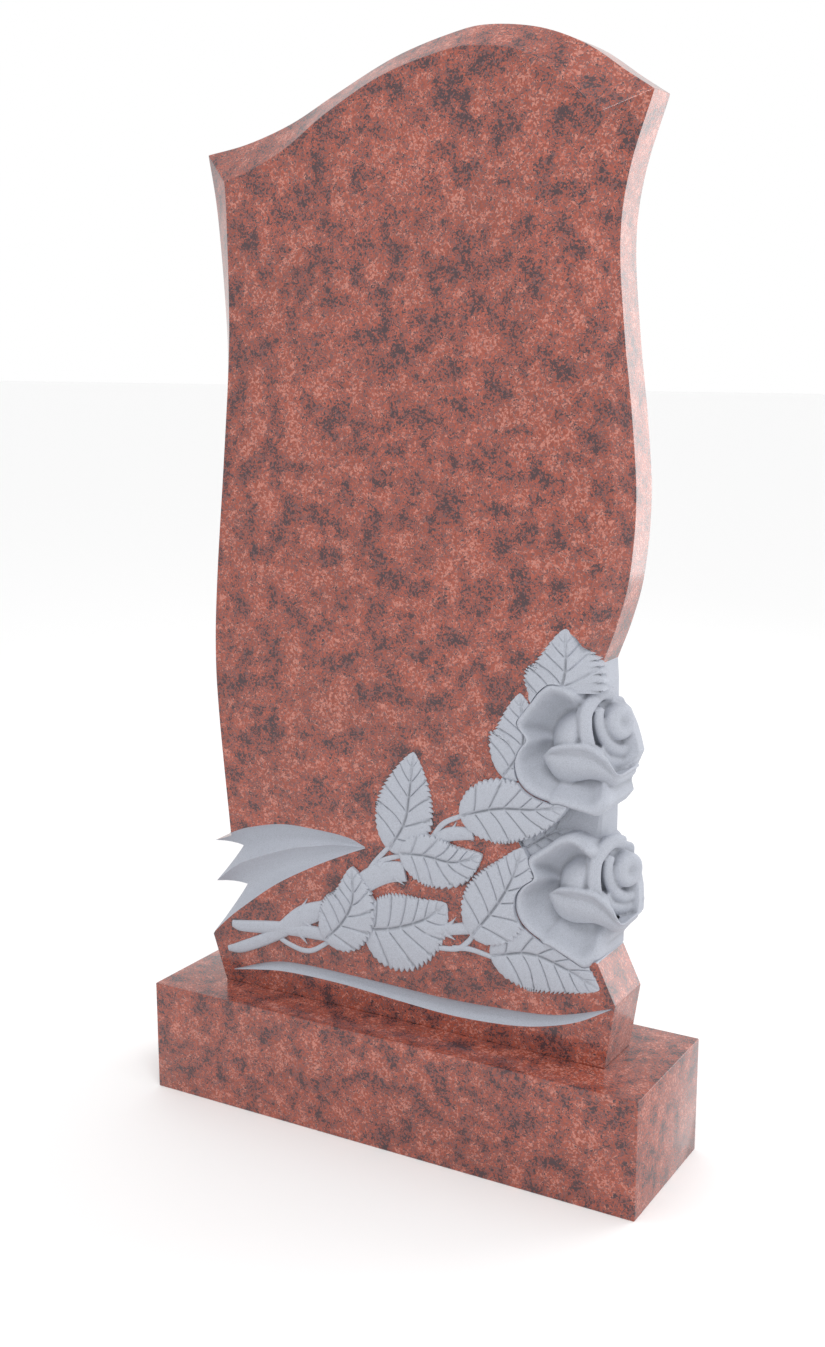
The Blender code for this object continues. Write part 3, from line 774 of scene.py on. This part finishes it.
def along_rib(curve, t):
    """The point at this share of a leaf's midrib, and the way across the leaf there."""
    last = len(curve) - 1
    k = min(int(t * last), last - 1)
    along = (curve[min(k + 3, last)] - curve[max(k - 2, 0)]).normalized()
    return curve[k].lerp(curve[k + 1], t * last - k), Vector((-along.y, along.x, 0))


def breadth_at(t):
    """A leaf's breadth along its midrib, as a share of its greatest."""
    return sin(pi * t ** 0.72) ** 0.75


def bell(x):
    """1 at nothing, falling smoothly to 0."""
    return (1.0 - x * x) ** 2 if abs(x) < 1 else 0.0


def leaf(name, rib, left, right, rise, material, end_sinks=0.0, right_sinks=0.0):
    """A pointed leaf with a sunk midrib, side veins and a toothed margin. Its rows run along the veins."""
    curve = even(spline([(x, z, 0) for x, z in rib], RIB_STEPS))
    length = sum((b - a).length for a, b in zip(curve, curve[1:]))
    crown = drawn(sizes().leaf_rise)
    groove = drawn(sizes().vein_depth)
    tooth = sizes().tooth_length * 1000
    rows = VEINS * ROWS_PER_VEIN
    rings = []
    for row in range(rows + 1):
        start = LEAF_STARTS + (1 - 2 * LEAF_STARTS) * row / rows
        gap = abs(row - ROWS_PER_VEIN * round(row / ROWS_PER_VEIN)) * length / rows
        ring = []
        for side, width, sinks in ((1, left, 0.0), (-1, right, right_sinks)):
            half = []
            for column in range(LEAF_COLUMNS + 1):
                a = 0.5 - 0.5 * cos(pi * column / LEAF_COLUMNS)
                t = start + VEIN_SWEEP * a * (1 - 0.35 * a) * sin(pi * start)
                mid, across = along_rib(curve, t)
                spread = breadth_at(t)
                saw = (t * length / tooth) % 1.0
                reach = width * spread * (1.0 - TOOTH_SHARE * saw * a ** 6)
                fade = min(1.0, (1.0 - a) * width * spread / MARGIN_BREADTH)
                crest = crown * min(1.0, spread * 1.3) * (0.6 + 0.4 * sin(pi * a ** 0.8))
                from_rib = a * width * spread
                midrib = MIDRIB_DEEPER * groove * bell(from_rib / MIDRIB_HALF) * min(1.0, spread * 2)
                vein = groove * bell(gap / VEIN_HALF) * min(1.0, spread * 1.6) * min(1.0, a * 12)
                lift = max(0.0, crest - max(midrib, vein)) * (0.25 + 0.75 * fade ** 0.5)
                base = -rise + end_sinks * t + sinks * spread * a ** 1.2
                point = mid + across * side * reach * a
                half.append(at(point.x, point.y, base - lift))
            for drop in (MARGIN_DROP, LEAF_EDGE):
                half.append(at(point.x, point.y, base + drop))
            ring.append(half if side > 0 else half[::-1])
        rings.append(ring[1][:-1] + ring[0])
    return loft(name, rings, [material])


def leaf_bed(rib, left, right, rise, end_sinks, material):
    """A cutter for a leaf that lies in a pocket of the face."""
    curve = spline([(x, z, 0) for x, z in rib + [BED_RUNS_TO]], CURVE_STEPS)
    rings = []
    for k in range(len(curve)):
        t = k / (len(curve) - 1)
        mid, across = along_rib(curve, t)
        spread = max(0.15, breadth_at(min(1.0, 0.05 + 0.75 * t)))
        edges = (mid + across * left * spread, mid - across * right * spread)
        depth = -rise + end_sinks * t + LEAF_BED_DEEPER
        rings.append([at(p.x, p.y, d) for p, d in zip((*edges, *edges[::-1]), (PROUD, PROUD, depth, depth))])
    return loft("leaf_bed", rings, [material])


def top_pocket(material):
    """A cutter whose floor falls from the top leaf's midrib to the slab's side."""
    low, high = TOP_POCKET[0][0], TOP_POCKET[-1][0]
    slope = TOP_POCKET_DEPTH / (high - low)
    floor = [at(x, z, TOP_POCKET_START + slope * (x - low)) for x, z in TOP_POCKET]
    return loft("top_pocket", [[at(x, z, PROUD) for x, z in TOP_POCKET], floor], [material])


def stem(name, line, material):
    """A flat-topped stem with rounded shoulders, lying on the face."""
    curve = spline(line, STEM_STEPS)
    rings = []
    for k, p in enumerate(curve):
        a, b = curve[max(k - 1, 0)], curve[min(k + 1, len(curve) - 1)]
        along = Vector((b.x - a.x, b.y - a.y)).normalized()
        across = Vector((-along.y, along.x))
        rise = drawn(sizes().stem_rise) * min(1.0, p.z / STEM_FULL_BREADTH)
        ring = [(-1.0, STEM_FOOT)]
        for step in range(STEM_SIDES + 1):
            angle = pi * step / STEM_SIDES
            ring.append((-cos(angle), -rise * sin(angle) ** 0.55))
        ring.append((1.0, STEM_FOOT))
        rings.append([at(p.x + across.x * s * p.z, p.y + across.y * s * p.z, depth) for s, depth in ring])
    return loft(name, rings, [material])


def thorn(name, foot, tip, material):
    """A pointed thorn with a ridge, drawn out from a broad foot."""
    foot, tip = Vector(foot), Vector(tip)
    along = (tip - foot).normalized()
    across = Vector((-along.y, along.x))
    rise = drawn(sizes().stem_rise)
    rings = []
    for step in range(THORN_STEPS + 1):
        share = step / THORN_STEPS
        point = (foot - along * THORN_ROOT).lerp(tip, share)
        half = THORN_HALF_FOOT * (1 - share) ** 1.6 + THORN_EDGE
        height = rise * (1 - share) ** 0.8 + THORN_TIP
        ring = [at(*(point + across * half), THORN_FOOT)]
        for a in (pi * k / THORN_SIDES for k in range(THORN_SIDES + 1)):
            ring.append(at(*(point + across * half * cos(a)), -height * sin(a) ** 0.8 - 0.1))
        ring.append(at(*(point - across * half), THORN_FOOT))
        rings.append(ring)
    return loft(name, rings, [material])


# Roses


def on_rose(p, q, d, place, turn):
    """A point of a rose in the place and at the turn of that rose."""
    a = radians(turn)
    return at(place[0] + p * cos(a) - q * sin(a), place[1] + p * sin(a) + q * cos(a), d)


def rose_bed(name, place, turn, material, share=BED_SHARE):
    """A cutter that takes the stone down within the rim of a rose."""
    middle = Vector(ROSE_MIDDLE)
    last = (len(ROSE_RIM) - len(ROSE_SIDE_CUT)) * PETAL_STEPS
    rim = closed_spline(ROSE_RIM, PETAL_STEPS)
    front = [middle.lerp(Vector((p.x, p.y)), share) for p in rim[PETAL_STEPS:last]]
    line = front + [Vector(p) for p in BED_SIDE]
    rings = [[on_rose(*p, d, place, turn) for p in line] for d in (BED_PROUD, BED_DEPTH)]
    return loft(name + "_bed", rings, [material])


def open_petals(name, place, turn, material):
    """The open outer petals: a bowl with a rolled rim, on the stock that runs to the back."""
    middle = Vector((*ROSE_MIDDLE, 0))
    rim = closed_spline(ROSE_RIM, PETAL_STEPS)
    profile = spline([(share, depth, 0) for share, depth in BOWL], BOWL_STEPS)
    rings = []
    for point in profile:
        ring = []
        for p in rim:
            flat = middle.lerp(Vector((p.x, p.y, 0)), point.x)
            ring.append(on_rose(flat.x, flat.y, point.y + p.z * point.x ** 2, place, turn))
        rings.append(ring)
    front = [(p, q) for p, q, _ in ROSE_RIM[:-len(ROSE_SIDE_CUT)]]
    cut_line = closed_line(front + ROSE_SIDE_CUT, PETAL_STEPS)
    for depth in (ROSE_SIDE_DEPTH, DRAWN_THICKNESS + BACK_STOCK):
        rings.append([on_rose(*p, depth, place, turn) for p in cut_line])
    return loft(name + "_petals", rings, [material])


def bud(name, place, turn, material):
    """The closed bulb of the bud, from its mouth back."""
    rings = []
    for p, q, d, wide, high, swing in spline_rows(BUD_SECTIONS, BUD_STEPS):
        left = Vector((-cos(radians(swing)), 0, -sin(radians(swing))))
        ring = []
        for k in range(BUD_SIDES):
            a = 2 * pi * k / BUD_SIDES
            point = Vector((p, q, d)) + left * cos(a) * wide + Vector((0, 1, 0)) * sin(a) * high
            ring.append(on_rose(*point, place, turn))
        rings.append(ring)
    return loft(name + "_bud", rings, [material])


def spline_rows(rows, steps):
    """A smooth run through rows of six numbers."""
    first = spline([row[:3] for row in rows], steps)
    second = spline([row[3:] for row in rows], steps)
    return [(*a, *b) for a, b in zip(first, second)]


def in_mouth(across, up, out):
    """A point of the rose, measured in the mouth of its bud."""
    a = radians(MOUTH_TURN)
    return Vector((out * sin(a) - across * cos(a), up, MOUTH_DEPTH - across * sin(a) - out * cos(a)))


def coil(name, place, turn, material, line, height):
    """One coiled petal in the bud's mouth."""
    path = spline(line, COIL_STEPS)
    rings = []
    for k, p in enumerate(path):
        a, b = path[max(k - 1, 0)], path[min(k + 1, len(path) - 1)]
        beside = Vector((a.y - b.y, b.x - a.x)).normalized() * p.z
        turns = [pi * n / LIP_STEPS for n in range(LIP_STEPS + 1)]
        lip = [(-cos(a), height - p.z * 0.8 * (1 - sin(a) ** 0.8)) for a in turns]
        section = [(-1, COIL_FOOT)] + lip + [(COIL_UNDERCUT, COIL_FOOT)]
        ring = [in_mouth(p.x + beside.x * s, p.y + beside.y * s, w) for s, w in section]
        rings.append([on_rose(*point, place, turn) for point in ring])
    return loft(name, rings, [material])


def heart(name, place, turn, material):
    """The rounded heart of the bud, with a dimple."""
    rings = []
    across, up = HEART_MIDDLE
    for share, out in HEART:
        radius = HEART_RADIUS * share
        turns = [2 * pi * k / HEART_SIDES for k in range(HEART_SIDES)]
        ring = [in_mouth(across + radius * cos(a), up + radius * sin(a), out) for a in turns]
        rings.append([on_rose(*point, place, turn) for point in ring])
    return loft(name + "_heart", rings, [material])


def wrapping_petal(name, place, turn, material):
    """The petal that wraps the bud from below, with its rolled lip."""
    lips = spline(WRAP_LIP, WRAP_STEPS)
    feet = spline(WRAP_FOOT, WRAP_STEPS)
    swings = [s.x for s in spline([(s, 0, 0) for s in WRAP_INWARD], WRAP_STEPS)]
    rings = []
    for lip, foot, swing in zip(lips, feet, swings):
        up = (lip - foot).normalized()
        inward = Vector((-sin(radians(swing)), 0, cos(radians(swing))))
        size = min(1.0, (foot - lip).length / WRAP_FULL_HEIGHT)
        ring = []
        for turn_of_lip in LIP_TURNS:
            a = radians(turn_of_lip)
            ring.append(lip + (up * sin(a) - inward * (cos(a) - 0.6)) * LIP_RADIUS * size)
        for share in WRAP_SHARES:
            bulge = WRAP_SWELL * sin(pi * (share - 0.15) / 0.85) - WRAP_SETBACK
            ring.append(lip.lerp(foot, share) - inward * bulge * size)
        ring += [foot + inward * 3 * size, foot + (up * 4 + inward * WRAP_THICKNESS) * size]
        ring += [lip + inward * WRAP_THICKNESS * size]
        rings.append([on_rose(*p, place, turn) for p in ring])
    return loft(name + "_wrap", rings, [material])


def rose(name, place, turn, material):
    """One rose, its petals worked together as one stone and cut flat at the back."""
    parts = [open_petals(name, place, turn, material)]
    parts += [make(name, *BUDS[name], material) for make in (bud, wrapping_petal, heart)]
    parts += [coil("%s_%s" % (name, petal), *BUDS[name], material, *facts) for petal, facts in COILS.items()]
    flower = join(name, parts)
    modify(flower, "REMESH", mode="VOXEL", voxel_size=sizes().petal_grain)
    modify(flower, "SMOOTH", factor=0.5, iterations=PETAL_ROUNDS)
    pick(flower)
    bpy.ops.object.mode_set(mode="EDIT")
    bpy.ops.mesh.select_all(action="SELECT")
    bpy.ops.mesh.bisect(plane_co=(0, FACE + SLAB_THICKNESS - BACK_GAP, 0), plane_no=(0, 1, 0), use_fill=True,
                        clear_outer=True)
    bpy.ops.object.mode_set(mode="OBJECT")
    flower.data.materials.clear()
    flower.data.materials.append(material)
    smooth(flower, 40)
    # Stores where painted shade darkens the rose's hollows
    mark_painted_hollow_shade(flower, *ROSE_HOLLOW_SHADE)
    return flower


# Operators


def finish_of(name):
    """One of the two finishes, made once."""
    made = bpy.data.materials.get(name)
    return made or {"red_polish": polished_granite, "pale_carving": carved_granite}[name]()


class HEADSTONE_OT_plinth(bpy.types.Operator):
    """The polished block that the slab stands on"""

    bl_idname = "headstone.plinth"
    bl_label = "Plinth"

    def execute(self, context):
        bpy.ops.object.select_all(action="DESELECT")
        size = PLINTH_HIGH - PLINTH_LOW
        bpy.ops.mesh.primitive_cube_add(size=1.0, location=(PLINTH_LOW + PLINTH_HIGH) / 2, scale=size)
        block = context.object
        block.name = block.data.name = "polished_plinth"
        bpy.ops.object.transform_apply(location=True, rotation=True, scale=True)
        bpy.ops.object.mode_set(mode="EDIT")
        bpy.ops.mesh.select_all(action="SELECT")
        bpy.ops.mesh.bevel(offset=sizes().plinth_arris, segments=3, affect="EDGES")
        bpy.ops.object.mode_set(mode="OBJECT")
        block.data.materials.append(finish_of("red_polish"))
        smooth(block, 30)
        dress(block, "plinth")
        return {"FINISHED"}


class HEADSTONE_OT_slab(bpy.types.Operator):
    """The bevelled slab with its flutes, its crescent groove and the beds of the deep carving"""

    bl_idname = "headstone.slab"
    bl_label = "Slab"

    def execute(self, context):
        carved = finish_of("pale_carving")
        slab = slab_block([finish_of("red_polish"), carved])
        flute_depth = drawn(sizes().flute_depth)
        groove_depth = drawn(sizes().groove_depth)
        flutes = [FLUTE_POINT] + [flute_depth * share for share in FLUTE_SHARES]
        groove = [groove_depth * share for share in GROOVE_SHARES]
        carve(slab, hollow("flute_cutter", [FLUTE_TOP, FLUTE_RIDGE, FLUTE_FOOT], flutes, carved))
        carve(slab, hollow("groove_cutter", [GROOVE_TOP, GROOVE_FOOT], groove, carved))
        carve(slab, leaf_bed(material=carved, **LEAVES["leaf_between_roses"]))
        carve(slab, top_pocket(carved))
        for name, facts in ROSES.items():
            carve(slab, rose_bed(name, material=carved, **facts))
        if len(slab.data.polygons) < FEWEST_FACES:
            raise RuntimeError("the slab was lost while its hollows were cut")
        smooth(slab, 32)
        modify(slab, "WEIGHTED_NORMAL", weight=100, keep_sharp=True)
        dress(slab)
        return {"FINISHED"}


class HEADSTONE_OT_leaves(bpy.types.Operator):
    """The carved leaves"""

    bl_idname = "headstone.leaves"
    bl_label = "Leaves"

    def execute(self, context):
        carved = finish_of("pale_carving")
        for name, facts in LEAVES.items():
            piece = leaf(name, material=carved, **facts)
            for rose_name in UNDER_ROSES.get(name, ()):
                bed = rose_bed(rose_name, material=carved, share=LEAF_END_SHARE, **ROSES[rose_name])
                cut(piece, bed, solver="MANIFOLD")
            smooth(piece, 50)
            # Stores where painted shade darkens the leaf's veins and hollows
            mark_painted_hollow_shade(piece, *LEAF_HOLLOW_SHADE)
            dress(piece)
        return {"FINISHED"}


class HEADSTONE_OT_stems(bpy.types.Operator):
    """The carved stems, stalks and thorns"""

    bl_idname = "headstone.stems"
    bl_label = "Stems and thorns"

    def execute(self, context):
        carved = finish_of("pale_carving")
        parts = [stem(name, line, carved) for name, line in STEMS.items()]
        parts += [thorn("thorn_%d" % k, foot, tip, carved) for k, (foot, tip) in enumerate(THORNS, 1)]
        stems = join("stems", parts)
        smooth(stems, 45)
        dress(stems)
        return {"FINISHED"}


class HEADSTONE_OT_roses(bpy.types.Operator):
    """The two roses that stand at the slab's side"""

    bl_idname = "headstone.roses"
    bl_label = "Roses"

    def execute(self, context):
        for name, facts in ROSES.items():
            dress(rose(name, material=finish_of("pale_carving"), **facts))
        return {"FINISHED"}


class HEADSTONE_OT_stage(bpy.types.Operator):
    """A plain pale floor, soft studio light and the camera"""

    bl_idname = "headstone.stage"
    bl_label = "Stage"

    def execute(self, context):
        bpy.ops.object.select_all(action="DESELECT")
        bpy.ops.mesh.primitive_plane_add(size=FLOOR_SIZE, location=(0, 0, 0))
        floor = context.object
        floor.name = "floor"
        paint = Paint("pale_floor")
        floor.data.materials.append(paint.finish(Base_Color=(0.95, 0.95, 0.95, 1.0), Roughness=0.9))
        context.scene.view_settings.view_transform = "Standard"
        world = bpy.data.worlds.new("studio")
        world.use_nodes = True
        background = world.node_tree.nodes["Background"]
        background.inputs["Color"].default_value = (1.0, 1.0, 1.0, 1.0)
        background.inputs["Strength"].default_value = WORLD_STRENGTH
        context.scene.world = world
        for name, place, size, power in LAMPS:
            bpy.ops.object.light_add(type="AREA", location=place)
            lamp = context.object
            lamp.name = name
            lamp.data.shape = "RECTANGLE"
            lamp.data.size, lamp.data.size_y = size
            lamp.data.energy = power
            lamp.rotation_euler = (Vector(LOOK_AT) - Vector(place)).to_track_quat("-Z", "Y").to_euler()
        bpy.ops.object.camera_add(location=CAMERA_PLACE)
        camera = context.object
        turn, climb = radians(CAMERA_TURN), radians(CAMERA_CLIMB)
        back = Vector((sin(turn) * cos(climb), -cos(turn) * cos(climb), sin(climb)))
        right = Vector((cos(turn), sin(turn), 0))
        up = back.cross(right)
        axes = Matrix((right, up, back)).transposed()
        camera.rotation_euler = axes.to_euler()
        camera.data.sensor_width = 36.0
        camera.data.sensor_fit = "AUTO"
        camera.data.lens = CAMERA_LENS
        context.scene.camera = camera
        return {"FINISHED"}


class HEADSTONE_PT_sidebar(bpy.types.Panel):
    """The headstone's sizes, colours and pieces"""

    bl_idname = "HEADSTONE_PT_sidebar"
    bl_label = "Granite headstone"
    bl_space_type = "VIEW_3D"
    bl_region_type = "UI"
    bl_category = "Headstone"

    def draw(self, context):
        for group in (sizes(), colours()):
            box = self.layout.box()
            for name in group.__annotations__:
                box.prop(group, name)
        for operator in OPERATORS:
            self.layout.operator(operator.bl_idname)


OPERATORS = (
    HEADSTONE_OT_stage, HEADSTONE_OT_plinth, HEADSTONE_OT_slab,
    HEADSTONE_OT_leaves, HEADSTONE_OT_stems, HEADSTONE_OT_roses,
)
CLASSES = (HeadstoneSizes, HeadstoneColours) + OPERATORS + (HEADSTONE_PT_sidebar,)


def register():
    for cls in CLASSES:
        bpy.utils.register_class(cls)
    bpy.types.Scene.headstone_sizes = bpy.props.PointerProperty(type=HeadstoneSizes)
    bpy.types.Scene.headstone_colours = bpy.props.PointerProperty(type=HeadstoneColours)


def unregister():
    del bpy.types.Scene.headstone_colours
    del bpy.types.Scene.headstone_sizes
    for cls in reversed(CLASSES):
        bpy.utils.unregister_class(cls)


def main():
    register()
    bpy.ops.headstone.stage()
    bpy.ops.headstone.plinth()
    bpy.ops.headstone.slab()
    bpy.ops.headstone.leaves()
    bpy.ops.headstone.stems()
    bpy.ops.headstone.roses()


if __name__ == "__main__":
    main()
